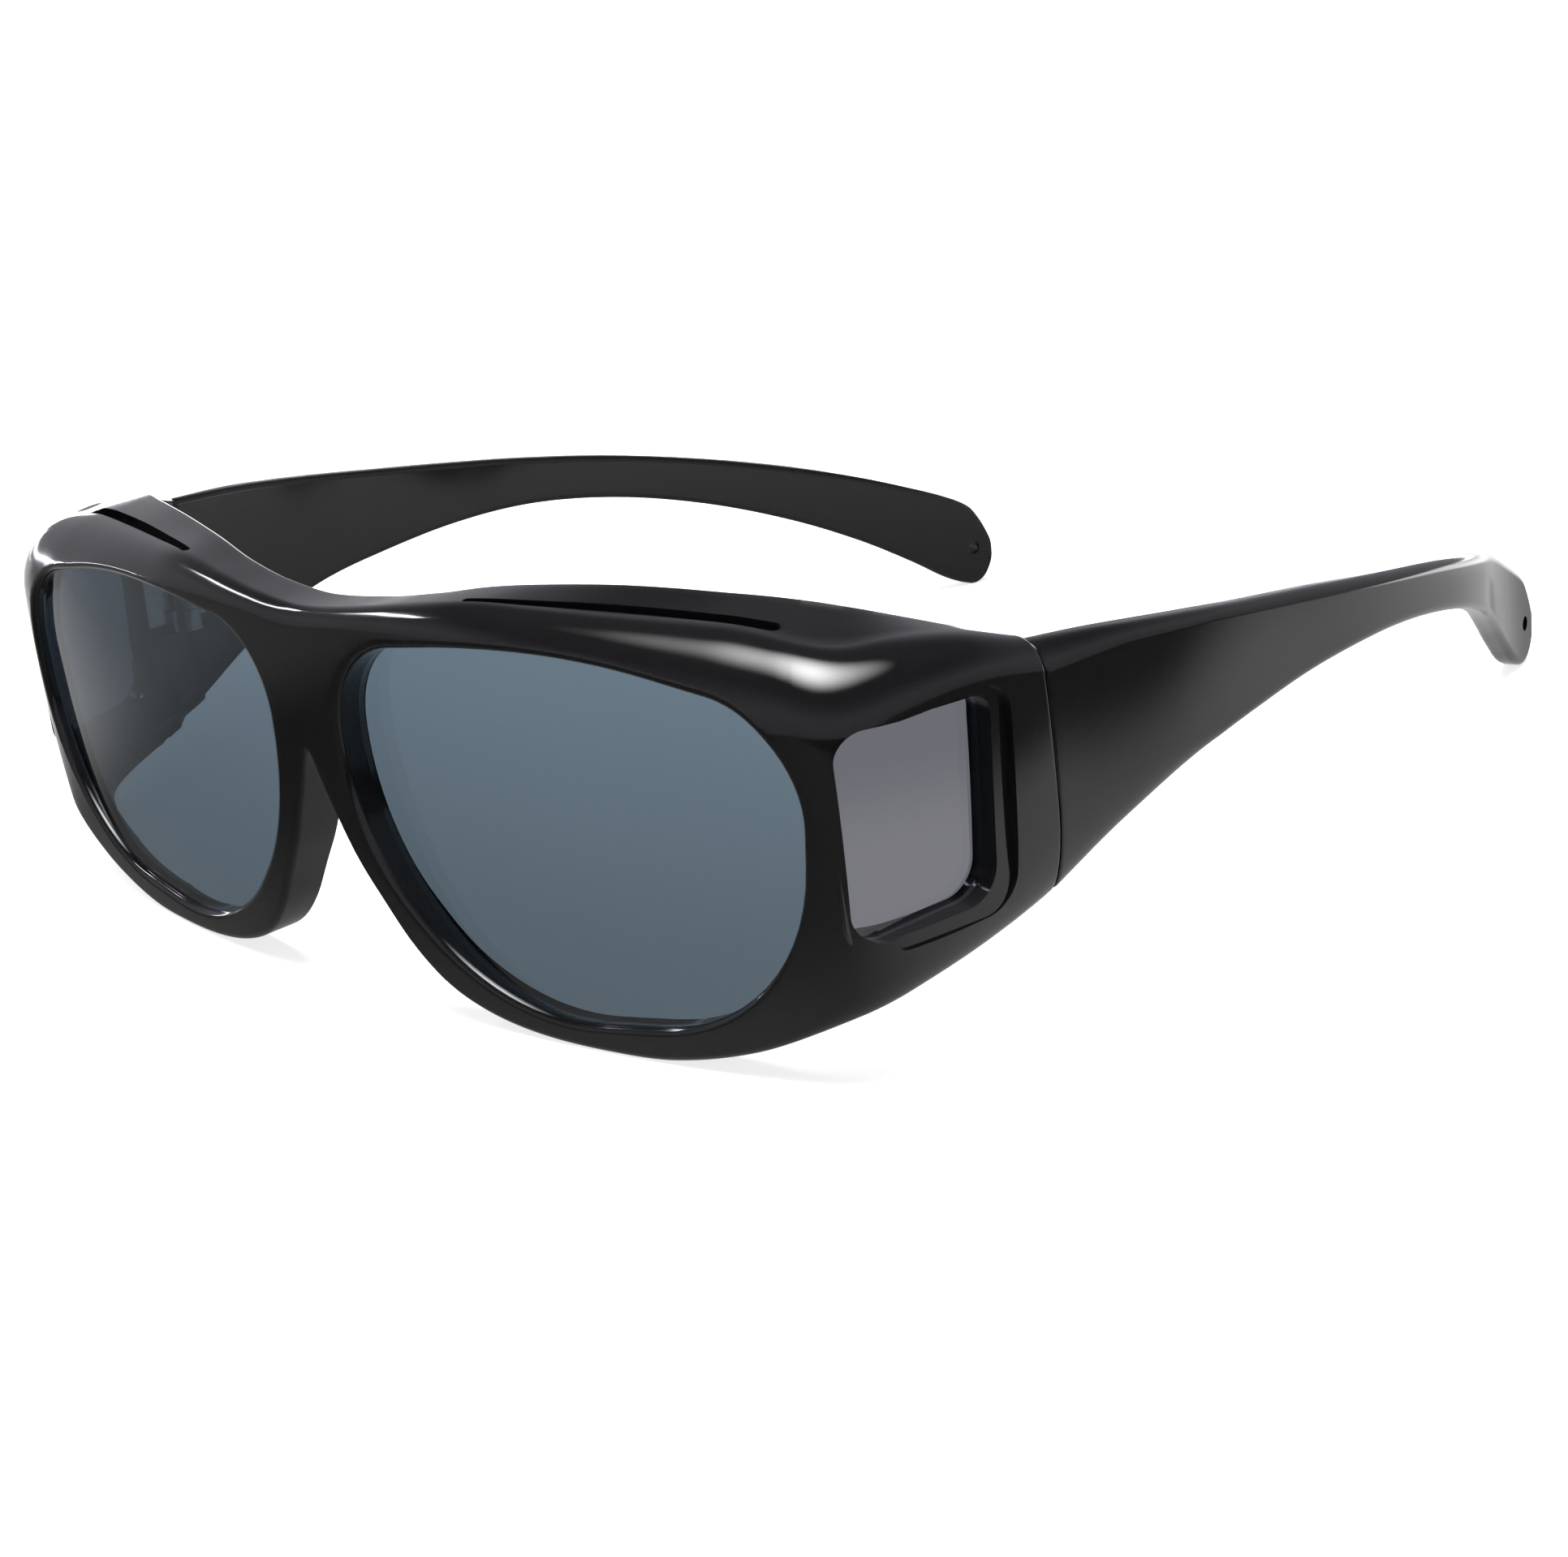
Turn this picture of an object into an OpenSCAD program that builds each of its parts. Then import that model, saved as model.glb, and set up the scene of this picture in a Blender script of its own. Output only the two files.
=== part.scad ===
// Fit-over wrap glasses with side windows and folding temples.
// Millimetres, +Z up, the front faces -Y and +X is the wearer's left.
// They stand as on a table, on the two rims and the two temple tips.
// The origin is under the middle of the whole length, on the table.

/* [Wrap] */
// Half of the outside width at the temple seam
half_width = 74.8; // [73.5:0.1:76.5]
// Depth from the front of the bridge to the temple seam
wrap_depth = 36.5; // [35.5:0.1:38]
// Radius of the front face in plan
front_radius = 230; // [215:5:250]
// How far the corner reaches out sideways from the end of the front arc
corner_reach = 9.7; // [8.8:0.1:10.6]
// Direction of the wall where the corner ends, in degrees
corner_heading = 70; // [67:1:73]
// Direction of the wall at the seam, in degrees
seam_heading = 88; // [86:0.5:90]
// Forward lean of the front, in mm for each mm of height
lean = 0.041; // [0.02:0.005:0.06]
// Radius of the front face in side view
face_radius = 210; // [180:5:260]

/* [Shell] */
// Height of the brow at the bridge
bridge_height = 45.5; // [44.8:0.1:46.5]
// Height of the brow at its highest
crown_height = 48.9; // [48.4:0.1:50.5]
// Distance along the wrap from the bridge to the highest brow
crown_run = 40; // [38:1:44]
// Height of the top edge at the seam
seam_top = 42.2; // [41.6:0.1:43]
// Height of the bottom edge at the seam
seam_bottom = 14.9; // [14.2:0.1:15.8]
// Height of the nose arch under the bridge
arch_height = 29.2; // [28:0.2:31]
// Depth of the bridge and of the nose walls
nose_depth = 6.2; // [6:0.1:6.8]
// Depth of the rims round the lenses
rim_depth = 4.3; // [4.2:0.1:4.8]
// Wall thickness round the side windows
side_wall = 5.4; // [5.2:0.1:5.8]
// How far the bottom band stands in behind the rims
band_rib = 0.5; // [0.3:0.1:0.8]
// Wall thickness of the end pieces at the seam
end_wall = 4; // [3.6:0.1:4.6]
// Thickness of the brow
brow_wall = 2; // [1.6:0.1:2.6]
// Thickness of the bottom band of the rims
band = 1.8; // [1.4:0.1:2.2]
// Radius of the small moulded edges
edge = 0.8; // [0.5:0.1:1]

/* [Vents] */
// Width of a brow vent at its inner end
vent_in = 1; // [0.6:0.1:1.6]
// Width of a brow vent at its outer end
vent_out = 1.7; // [1.2:0.1:2.4]
// Distance of the inner end of a vent from the middle
vent_start = 24; // [20:0.5:28]
// Distance of the outer end of a vent from the middle
vent_end = 56.8; // [52:0.1:59]

/* [Lenses] */
// Thickness of a front lens
lens_thick = 1.8; // [1.4:0.1:2.2]
// Radius of a front lens in plan
lens_radius = 210; // [190:5:230]
// How far a lens reaches under its rim
lens_lap = 0.8; // [0.6:0.1:0.9]
// Recess of the lens behind the front face, beside the nose
nose_recess = 3.6; // [3.2:0.1:3.8]
// Recess of the lens behind the front face, at its outer edge
outer_recess = 2; // [1.8:0.1:2.2]
// Thickness of a side lens
pane_thick = 1.2; // [1:0.1:1.3]
// How far a side lens reaches under its window frame
pane_lap = 0.7; // [0.5:0.1:0.8]
// Recess of a side lens behind the wall, at its front edge
pane_front = 0.9; // [0.8:0.1:1.1]
// Recess of a side lens behind the wall, at its rear edge
pane_rear = 3.2; // [2.8:0.1:3.4]
// Depth of the step round the rear and bottom of a side window
step_depth = 0.8; // [0.5:0.1:1.2]
// Clearance round lenses in their seats
fit_gap = 0.05; // [0.03:0.01:0.1]
// Widening of the openings towards the outside, on each side
draft = 0.3; // [0.1:0.1:0.5]

/* [Temples] */
// Length of a temple behind the seam
temple_run = 133.9; // [128:0.1:140]
// Gap between the frame and a temple at the seam
seam_gap = 0.15; // [0.1:0.05:0.3]
// Thickness of a temple at the seam
temple_root = 4; // [3.6:0.1:4.4]
// Thickness of a temple along the arm
temple_thick = 3; // [2.6:0.1:3.4]
// Height of the shoulder of the ear piece
ear_height = 12.4; // [11.6:0.2:13.4]
// How far the ear piece bends inwards
tip_inset = 25.8; // [23:0.1:28]
// Radius of the lanyard hole
lanyard_r = 1; // [0.8:0.05:1.2]
// Distance of the lanyard hole from the end of the temple
lanyard_end = 3.6; // [3.2:0.1:4.2]
// Height of the lanyard hole
lanyard_z = 5.8; // [5:0.1:6.4]

/* [Hinges] */
// Distance of the hinge axis from the outside of the temple
axis_inset = 4.6; // [4.5:0.1:4.9]
// Height of the middle of a hinge
hinge_z = 29; // [27:0.5:31]
// Radius of the hinge knuckles
knuckle_r = 1.75; // [1.6:0.05:1.8]
// Height of the middle knuckle
knuckle_mid = 3; // [2.4:0.1:3.4]
// Height of each outer knuckle
knuckle_end = 2.8; // [2.2:0.1:3]
// Gap between knuckles
knuckle_gap = 0.1; // [0.05:0.01:0.15]
// Thickness of a hinge leaf
leaf_thick = 1; // [0.8:0.1:1.2]
// Length of a hinge leaf from the axis
leaf_len = 6.6; // [6.2:0.1:6.8]
// Height of a hinge leaf
leaf_high = 6.4; // [5.6:0.2:7.6]
// Radius of the hinge screw
screw_r = 0.7; // [0.6:0.05:0.8]
// Clearance round the hinge screw
screw_gap = 0.05; // [0.02:0.01:0.08]
// Radius of the screw head
screw_head_r = 1.3; // [1.1:0.05:1.5]
// Height of the screw head
screw_head = 0.7; // [0.5:0.1:0.9]
// Width of the square anchor lugs behind a leaf
lug_wide = 1.2; // [1:0.1:1.4]
// Length of the anchor lugs
lug_len = 1.2; // [0.8:0.1:1.4]
// Height between the two anchor lugs of a leaf
lug_pitch = 3.8; // [3.2:0.1:4.2]

/* [Hidden] */
$fn = 48;

gloss_black = [0.03, 0.03, 0.035];
smoke = [0.25, 0.3, 0.35, 0.6];
steel = [0.7, 0.7, 0.72];

// Height at which the face is measured
mid_z = 28;
// Place of the bridge front, so that the whole length is centred on the origin
face_lead = lean * lean * face_radius / 2;
whole_run = face_lead + wrap_depth + seam_gap + temple_run;
front_y = face_lead - whole_run / 2;
seam_y = front_y + wrap_depth;

// Interpolates smoothly between hand-chosen stations [position, value].
function span(p, x, i = 0) = i >= len(p) - 2 || x < p[i + 1][0] ? i : span(p, x, i + 1);
function slope_at(p, i) =
    let (a = max(i - 1, 0), b = min(i + 1, len(p) - 1))
    (p[b][1] - p[a][1]) / (p[b][0] - p[a][0]);
function curve(p, x, flat_start = false) =
    let (i = span(p, x), h = p[i + 1][0] - p[i][0], t = (x - p[i][0]) / h,
         m0 = flat_start && i == 0 ? 0 : slope_at(p, i), m1 = slope_at(p, i + 1))
    (1 + 2 * t) * (1 - t) * (1 - t) * p[i][1] + t * (1 - t) * (1 - t) * h * m0
    + t * t * (3 - 2 * t) * p[i + 1][1] + t * t * (t - 1) * h * m1;
// Straight lines between the same kind of stations.
function ramp(p, x) = lookup(x, p);

// The wall in plan is three arcs: the front, the corner and the side.
front_run = front_radius * asin((half_width - corner_reach) / front_radius) * PI / 180;
front_turn = front_run / front_radius * 180 / PI;
arc_end = [front_radius * sin(front_turn), front_y + front_radius * (1 - cos(front_turn))];
left_x = half_width - arc_end[0];
left_y = seam_y - arc_end[1];
cx = sin(corner_heading) - sin(front_turn);
cy = cos(front_turn) - cos(corner_heading);
sx = sin(seam_heading) - sin(corner_heading);
sy = cos(corner_heading) - cos(seam_heading);
corner_radius = (left_x * sy - left_y * sx) / (cx * sy - cy * sx);
side_radius = (cx * left_y - cy * left_x) / (cx * sy - cy * sx);
corner_end = arc_end + corner_radius * [cx, cy];
corner_stop = front_run + corner_radius * (corner_heading - front_turn) * PI / 180;
seam_run = corner_stop + side_radius * (seam_heading - corner_heading) * PI / 180;

// Stations along the wrap were drawn for these lengths and follow the real ones.
drawn_front = 66;
drawn_seam = 96.22;
function along(s) =
    s <= drawn_front ? s * front_run / drawn_front
    : front_run + (s - drawn_front) * (seam_run - front_run) / (drawn_seam - drawn_front);
function stretched(p) = [for (q = p) [along(q[0]), q[1]]];
function widened(x) = x * front_run / drawn_front;

// Direction of the wall, and its point, at a distance along the wrap.
function heading(s) =
    s <= front_run ? s / front_radius * 180 / PI
    : s <= corner_stop ? front_turn + (s - front_run) / corner_radius * 180 / PI
    : corner_heading + (s - corner_stop) / side_radius * 180 / PI;
function wrap_point(s) =
    let (h = heading(s))
    s <= front_run ? [front_radius * sin(h), front_y + front_radius * (1 - cos(h))]
    : s <= corner_stop ? arc_end + corner_radius * [sin(h) - sin(front_turn), cos(front_turn) - cos(h)]
    : corner_end + side_radius * [sin(h) - sin(corner_heading), cos(corner_heading) - cos(h)];
function bulge(z) = (z - mid_z) * (z - mid_z) / (2 * face_radius);
// The back edge of the brow, as distance along the wrap against x and depth.
brow_drawn = [[0, 0], [8, 8], [16, 16], [24, 24], [32, 31.8], [40, 39.4], [48, 45.5], [56, 50],
    [64, 53.8], [70, 57], [76, 60], [82, 63], [88, 66], [92, 68]];
brow_back_x = concat([for (q = brow_drawn) [along(q[0]), widened(q[1])]],
    [[seam_run, half_width - end_wall - 0.6]]);
brow_back_y = stretched([[0, nose_depth + 0.9], [8, nose_depth + 1.1], [16, 8.4], [24, 10.4], [32, 12.8],
    [40, 15.4], [48, 18], [56, 20.2], [64, 22.2], [70, 24], [76, 26.1], [82, 28.7], [88, 31.8],
    [92, 34], [drawn_seam, wrap_depth]]);
function brow_back(s) = [curve(brow_back_x, s), front_y + curve(brow_back_y, s)];

// A point of the shell at a height: at a depth from the face, towards the brow's back edge.
function placed(face, out, inwards, w, z) =
    let (q = face - bulge(z) * out + w * inwards) [q[0], q[1] - lean * (z - mid_z), z];
function inward(s) = let (d = brow_back(s) - wrap_point(s)) d / norm(d);
function outward(s) = [sin(heading(s)), -cos(heading(s))];
function shell_point(s, w, z) = placed(wrap_point(s), outward(s), inward(s), w, z);

// Outlines of the shell along the wrap.
bottom_line = stretched([[0, arch_height], [2.6, arch_height - 5.6], [5.2, arch_height - 11.4], [8, 13.3],
    [11.4, 8.3], [15.6, 4.3], [21, 1.8], [28, 0.4], [37, 0], [46, 0.4], [56.5, 2.9], [68, 7.6],
    [76, 9.8], [84, 11.7], [90, 13.2], [drawn_seam, seam_bottom]]);
crown_line = concat(
    stretched([[0, bridge_height], [8, bridge_height + 0.6], [16, bridge_height + 1.65],
        [24, crown_height - 0.6], [32, crown_height - 0.1]]),
    [[crown_run, crown_height]],
    stretched([[52, crown_height - 0.6], [64, crown_height - 1.3], [76, crown_height - 2.5],
        [88, seam_top + 1.9], [drawn_seam, seam_top]]));
// How much lower the brow is where it meets the face.
brow_fall = stretched([[0, 0], [16, 0], [24, 0.3], [32, 1], [40, 1.4], [56, 1.2], [64, 1.5], [72, 1.8],
    [80, 0.8], [88, 0], [drawn_seam, 0]]);
round_in = stretched([[0, 1.8], [10, 2.2], [24, 3.7], [40, 5.9], [52, 7.2], [62, 7.9], [70, 7.8], [78, 7.2],
    [86, 5.6], [drawn_seam, 3]]);
round_down = stretched([[0, 2.4], [10, 2.4], [24, 4.2], [40, 7.1], [52, 8.9], [62, 9.3], [70, 8.5],
    [78, 6.2], [86, 4.4], [drawn_seam, 3.5]]);
foot_round_in = stretched([[0, edge], [60, edge], [70, 1.2], [80, 1.8], [88, 2.1], [drawn_seam, 2]]);
foot_round_up = stretched([[0, edge], [60, edge], [70, 2.5], [80, 6], [88, 9], [drawn_seam, 9]]);
wall_in = stretched([[0, nose_depth], [3, nose_depth - 0.4], [10, nose_depth - 1.2], [18, rim_depth + 0.2],
    [28, rim_depth], [60, rim_depth], [66, side_wall],
    [88, side_wall], [91, end_wall], [drawn_seam, end_wall]]);

function crown(s) = curve(crown_line, s, true);
function bottom(s) = curve(bottom_line, s, true);
// How much a steep bottom edge stretches the band in height.
function stretch(s) =
    let (d = (bottom(min(s + 0.5, seam_run)) - bottom(max(s - 0.5, 0)))) min(sqrt(1 + d * d), 2.4);

foot_rows = 3;
face_rows = 3;
round_rows = 6;
// Depth and height of the outer and inner skins, from the foot up to the brow.
function outer_skin(s) =
    let (zb = bottom(s), zt = crown(s) - ramp(brow_fall, s), a = ramp(round_in, s),
         b = ramp(round_down, s), fa = ramp(foot_round_in, s),
         fb = max(ramp(foot_round_up, s), edge * stretch(s)), z0 = zb + fb, z1 = zt - b)
    concat([[ramp(wall_in, s) + band_rib, zb]],
        [for (i = [0:foot_rows]) let (g = 90 * i / foot_rows)
            [fa * (1 - sin(g)), zb + fb * (1 - cos(g))]],
        [for (i = [1:face_rows]) [0, z0 + (z1 - z0) * i / face_rows]],
        [for (i = [1:round_rows]) let (g = 90 * i / round_rows)
            [a * (1 - cos(g)), z1 + b * sin(g)]]);
function inner_skin(s, reach) =
    let (zb = bottom(s) + band * stretch(s), zt = crown(s) - ramp(brow_fall, s) - brow_wall,
         t = ramp(wall_in, s), a = min(max(ramp(round_in, s) - 2, 0.5), (reach - t) * 0.4),
         b = max(ramp(round_down, s) - 2, 0.6), e = band_rib * 0.8, z0 = zb + e, z1 = zt - b)
    concat([[t + band_rib, zb]],
        [for (i = [0:foot_rows]) let (g = 90 * i / foot_rows) [t + e * (1 - sin(g)), zb + e * (1 - cos(g))]],
        [for (i = [1:face_rows]) [t, z0 + (z1 - z0) * i / face_rows]],
        [for (i = [1:round_rows]) let (g = 90 * i / round_rows)
            [t + a * (1 - cos(g)), z1 + b * sin(g)]]);

// One closed section of the shell, outer skin first, then the inner one backwards.
function shell_ring(s) =
    let (face = wrap_point(s), out = outward(s), inwards = inward(s),
         reach = norm(brow_back(s) - face), zt = crown(s), zi = zt - brow_wall,
         outer = outer_skin(s), inner = inner_skin(s, reach),
         lip = min(edge, (reach - ramp(wall_in, s)) * 0.3))
    concat([for (p = outer) placed(face, out, inwards, p[0], p[1])],
        [placed(face, out, inwards, reach - edge, zt), placed(face, out, inwards, reach, zt - edge),
         placed(face, out, inwards, reach, zi), placed(face, out, inwards, reach - lip, zi)],
        [for (i = [len(inner) - 1:-1:0]) placed(face, out, inwards, inner[i][0], inner[i][1])]);
function across(p, side) = [side * p[0], p[1], p[2]];

// Stations along one half of the wrap, closer together where it curves most.
half_stations = concat([for (i = [1:14]) 20 * i / 14],
    [for (i = [1:11]) 20 + (front_run - 20) * i / 11],
    [for (i = [1:8]) front_run + (corner_stop - front_run) * i / 8],
    [for (i = [1:9]) corner_stop + (seam_run - corner_stop) * i / 9]);
shell_rings = concat([for (i = [len(half_stations) - 1:-1:0])
        [for (p = shell_ring(half_stations[i])) across(p, -1)]],
    [shell_ring(0)], [for (s = half_stations) shell_ring(s)]);

// Joins closed sections into a solid. The ends are strips between matching points.
module skin(rings, flip = false) {
    n = len(rings);
    m = len(rings[0]);
    points = [for (r = rings) each r];
    sides = [for (i = [0:n - 2], j = [0:m - 1])
        let (a = i * m + j, b = i * m + (j + 1) % m, c = (i + 1) * m + (j + 1) % m, d = (i + 1) * m + j)
        each [[a, b, c], [a, c, d]]];
    half = m / 2;
    first = [for (j = [0:half - 2]) each [[j, m - 1 - j, j + 1], [j + 1, m - 1 - j, m - 2 - j]]];
    last = [for (j = [0:half - 2]) let (o = (n - 1) * m)
        each [[o + j, o + j + 1, o + m - 1 - j], [o + j + 1, o + m - 2 - j, o + m - 1 - j]]];
    faces = concat(sides, first, last);
    polyhedron(points, flip ? [for (f = faces) [f[0], f[2], f[1]]] : faces, convexity = 8);
}

// The arc that rounds a corner [x, y, radius] of an outline, moved outwards by a margin.
arc_steps = 8;
function arc_points(c, i, margin) =
    let (p = [c[i][0], c[i][1]], before = c[(i + len(c) - 1) % len(c)], after = c[(i + 1) % len(c)],
         u = [before[0], before[1]] - p, v = [after[0], after[1]] - p,
         a = u / norm(u), b = v / norm(v), half = acos(a * b) / 2, inwards = (a + b) / norm(a + b),
         middle = p + inwards * (c[i][2] / sin(half)), facing = atan2(-inwards[1], -inwards[0]))
    [for (k = [0:arc_steps]) let (g = facing + (90 - half) * (1 - 2 * k / arc_steps))
        middle + (c[i][2] + margin) * [cos(g), sin(g)]];
// Half of the angle at a corner, and how much of its two sides the arc takes.
function half_angle(c, i) =
    let (p = [c[i][0], c[i][1]], before = c[(i + len(c) - 1) % len(c)], after = c[(i + 1) % len(c)],
         u = [before[0], before[1]] - p, v = [after[0], after[1]] - p)
    acos(u * v / (norm(u) * norm(v))) / 2;
function arc_take(c, i) = c[i][2] / tan(half_angle(c, i));
// Room on the side after a corner, as a share of what its two arcs take.
function side_room(c, i) =
    let (n = (i + 1) % len(c), d = [c[n][0] - c[i][0], c[n][1] - c[i][1]])
    0.98 * norm(d) / (arc_take(c, i) + arc_take(c, n));
// The same corners with arcs no larger than their sides have room for.
function fitted(c) = [for (i = [0:len(c) - 1])
    [c[i][0], c[i][1], c[i][2] * min(1, side_room(c, i), side_room(c, (i + len(c) - 1) % len(c)))]];
// A convex outline with rounded corners, listed clockwise.
module outline(c, margin = 0) {
    polygon([for (i = [0:len(c) - 1]) each arc_points(c, i, margin)]);
}

// Corners of the left lens opening, seen from the front: x, height and radius.
lens_drawn = [[5.9, bridge_height - 3.9, 10.4], [34.8, crown_height - 3.9, 92],
    [65.7, crown_height - 9.7, 11.2], [62.5, band + 4.5, 15.6], [23.2, band - 0.2, 25.8],
    [5.8, arch_height - 8.4, 27.4]];
lens_corners = fitted([for (q = lens_drawn) [widened(q[0]), q[1], q[2]]]);
// Corners of a side window: distance along the wall, height and radius.
window_drawn = [[70.1, seam_top - 3.9, 3], [88.3, seam_top - 3.7, 2], [87.6, seam_bottom + 2.5, 5],
    [70.9, seam_bottom + 1.1, 2]];
// Corners of the step outside the window.
step_drawn = [[75.2, seam_top - 3.3, 1], [90.4, seam_top - 2.5, 3], [89.9, seam_bottom + 0.9, 4],
    [75.2, seam_bottom, 1]];

// The lens is part of an upright cylinder through these two places.
lens_a = shell_point(along(9), nose_recess, mid_z);
lens_b = shell_point(along(64), outer_recess, mid_z);
lens_mid = [(lens_a[0] + lens_b[0]) / 2, (lens_a[1] + lens_b[1]) / 2];
lens_half = norm([lens_b[0] - lens_a[0], lens_b[1] - lens_a[1]]) / 2;
lens_back = [-(lens_b[1] - lens_a[1]), lens_b[0] - lens_a[0]] / (2 * lens_half);
lens_centre = lens_mid + lens_back * sqrt(lens_radius * lens_radius - lens_half * lens_half);

module from_front(near, far) {
    translate([0, far, 0]) rotate([90, 0, 0]) linear_extrude(height = far - near) children();
}

// A curved sheet that leans with the face.
module lens_sheet(gap) {
    translate([lens_centre[0], lens_centre[1], mid_z]) rotate([atan(lean), 0, 0])
        rotate_extrude($fn = 180) translate([lens_radius - lens_thick - gap, -30])
            square([lens_thick + 2 * gap, 60]);
}

// A lens, or with a gap the groove that holds it.
module lens_body(gap) {
    intersection() {
        lens_sheet(gap);
        from_front(front_y - 5, front_y + 30) outline(lens_corners, lens_lap + gap);
    }
}

// The side lens is flat. Its outer face passes through two places inside the wall.
pane_s = along(78);
pane_a = shell_point(along(70), pane_front, mid_z);
pane_b = shell_point(along(88), pane_rear, mid_z);
pane_heading = atan2(pane_b[1] - pane_a[1], pane_b[0] - pane_a[0]);
pane_foot = let (u = [cos(pane_heading), sin(pane_heading)], a = [pane_a[0], pane_a[1]])
    a + u * ((wrap_point(pane_s) - a) * u);

// Stands a drawing of distance and height on the side lens's plane, facing outwards.
module on_pane(outwards) {
    out = [sin(pane_heading), -cos(pane_heading)];
    translate([pane_foot[0] + outwards * out[0], pane_foot[1] + outwards * out[1], 0])
        rotate([0, 0, pane_heading]) rotate([90, 0, 0]) children();
}
function on_wall(c) = fitted([for (p = c) [along(p[0]) - pane_s, p[1], p[2]]]);

module pane_plate(gap) {
    on_pane(-pane_thick - gap) linear_extrude(height = pane_thick + 2 * gap)
        outline(on_wall(window_drawn), pane_lap + gap);
}

// A recess in the wall, wider at its mouth than at its floor by the draft of the mould.
module recess(c, floor_at, mouth_at) {
    hull() {
        on_pane(floor_at) linear_extrude(height = 0.01) outline(on_wall(c));
        on_pane(mouth_at) linear_extrude(height = 0.01) outline(on_wall(c), draft);
    }
}

// The step follows the wall at its own depth.
module step_zone() {
    steps = 8;
    translate([0, 0, mid_z - 20]) linear_extrude(height = 40)
        polygon(concat(
            [for (i = [0:steps]) let (p = shell_point(along(70 + 22 * i / steps), step_depth, mid_z))
                [p[0], p[1]]],
            [[half_width + 6, front_y + 34], [half_width + 6, front_y + 8]]));
}

module window_cut() {
    recess(window_drawn, -6, 10);
    intersection() {
        recess(step_drawn, 0, 10);
        step_zone();
    }
}

// A vent runs through the brow and widens outwards.
module vent_cut() {
    hull() {
        translate([vent_start, front_y + 5.2, crown_height - 9]) cylinder(r = vent_in / 2, h = 14, $fn = 16);
        translate([vent_end, front_y + 16.2, crown_height - 9])
            cylinder(r = vent_out / 2, h = 14, $fn = 16);
    }
}

// The hinge axis is upright, just inside the seam.
axis_x = half_width - axis_inset;
pad_x = axis_x + knuckle_r + 0.25;
module hinge_pocket(towards) {
    reach = leaf_len + 0.3;
    translate([axis_x - 8, seam_y + (towards > 0 ? -1 : -reach), hinge_z - hinge_half - 0.3])
        cube([pad_x - axis_x + 8, reach + 1, 2 * hinge_half + screw_head + 0.6]);
}
hinge_half = knuckle_mid / 2 + knuckle_gap + knuckle_end;
leaf_gap = 1.8;
lug_run = 4.2;
module lugs(towards, extra) {
    for (side = [-1, 1])
        translate([pad_x + lug_len / 2, seam_y + towards * lug_run, hinge_z + side * lug_pitch / 2])
            cube([lug_len + 2 * extra, lug_wide + 2 * extra, lug_wide + 2 * extra], center = true);
}

// The opening in front of a lens, with the same draft.
module lens_opening() {
    hull() {
        from_front(front_y - 5, front_y - 4.99) outline(lens_corners, draft);
        from_front(front_y + 15.99, front_y + 16) outline(lens_corners);
    }
}

module half_cuts() {
    lens_opening();
    lens_body(fit_gap);
    window_cut();
    pane_plate(fit_gap);
    vent_cut();
    hinge_pocket(-1);
    lugs(-1, fit_gap);
}

module front_frame() {
    color(gloss_black) difference() {
        skin(shell_rings);
        half_cuts();
        mirror([1, 0, 0]) half_cuts();
    }
}

// The edges of a temple in side view and its outside in plan, behind the seam.
// Stations are set out for a drawn length and stretched to the temple's own.
drawn_run = 132.9;
function scaled(p) = [for (q = p) [q[0] * temple_run / drawn_run, q[1]]];
temple_top = scaled([[0, seam_top - 0.5], [10, 40.8], [22, 39.25], [35, 37.3], [48, 35.35],
    [62, 33.1], [76, 30.5], [90, 27.25], [102, 23.9], [112, 20.5], [120, 17.2],
    [126, ear_height + 2], [129.2, ear_height]]);
temple_bottom = scaled([[0, seam_bottom], [10, 19.5], [22, 23.6], [35, 25.6], [48, 26.65],
    [62, 26.35], [76, 24.2], [90, 20.4], [102, 15.7], [112, 10.4], [120, 5.2], [125.2, 1.6],
    [129, 0]]);
// The end of the ear piece is cut back below its shoulder.
end_top = scaled([[129.2, ear_height], [130.6, 10.6], [131.7, 8.6], [132.5, 6.8], [132.9, 5.4]]);
end_bottom = scaled([[129, 0], [130.3, 0.2], [131.4, 1], [132.3, 2.5], [132.9, 4]]);
shoulder_run = end_top[0][0];
sole_run = end_bottom[0][0];
temple_out = scaled([[0, 0], [20, 1.5], [40, 0.8], [60, -0.6], [80, -4.5], [95, -9.8],
    [108, 9.4 - tip_inset], [118, 4.7 - tip_inset], [126, 1.7 - tip_inset], [132.9, -tip_inset]]);
temple_depth = [[0, temple_root], [14, 3.4], [30, temple_thick], [temple_run, temple_thick]];
top_round_in = [[0, 3], [12, 1.6], [26, 1.2], [temple_run, 1.2]];
top_round_down = [[0, 3.5], [12, 2], [26, 1.4], [temple_run, 1.3]];
foot_out_in = [[0, 2], [12, 1.6], [26, 1], [temple_run, 1]];
foot_out_up = [[0, 9], [12, 4.5], [26, 1.2], [temple_run, 1.2]];
edge_steps = 4;

function quarter(cx, cz, a, b, from) =
    [for (k = [0:edge_steps]) let (g = from + 90 * k / edge_steps) [cx + a * cos(g), cz + b * sin(g)]];
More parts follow.
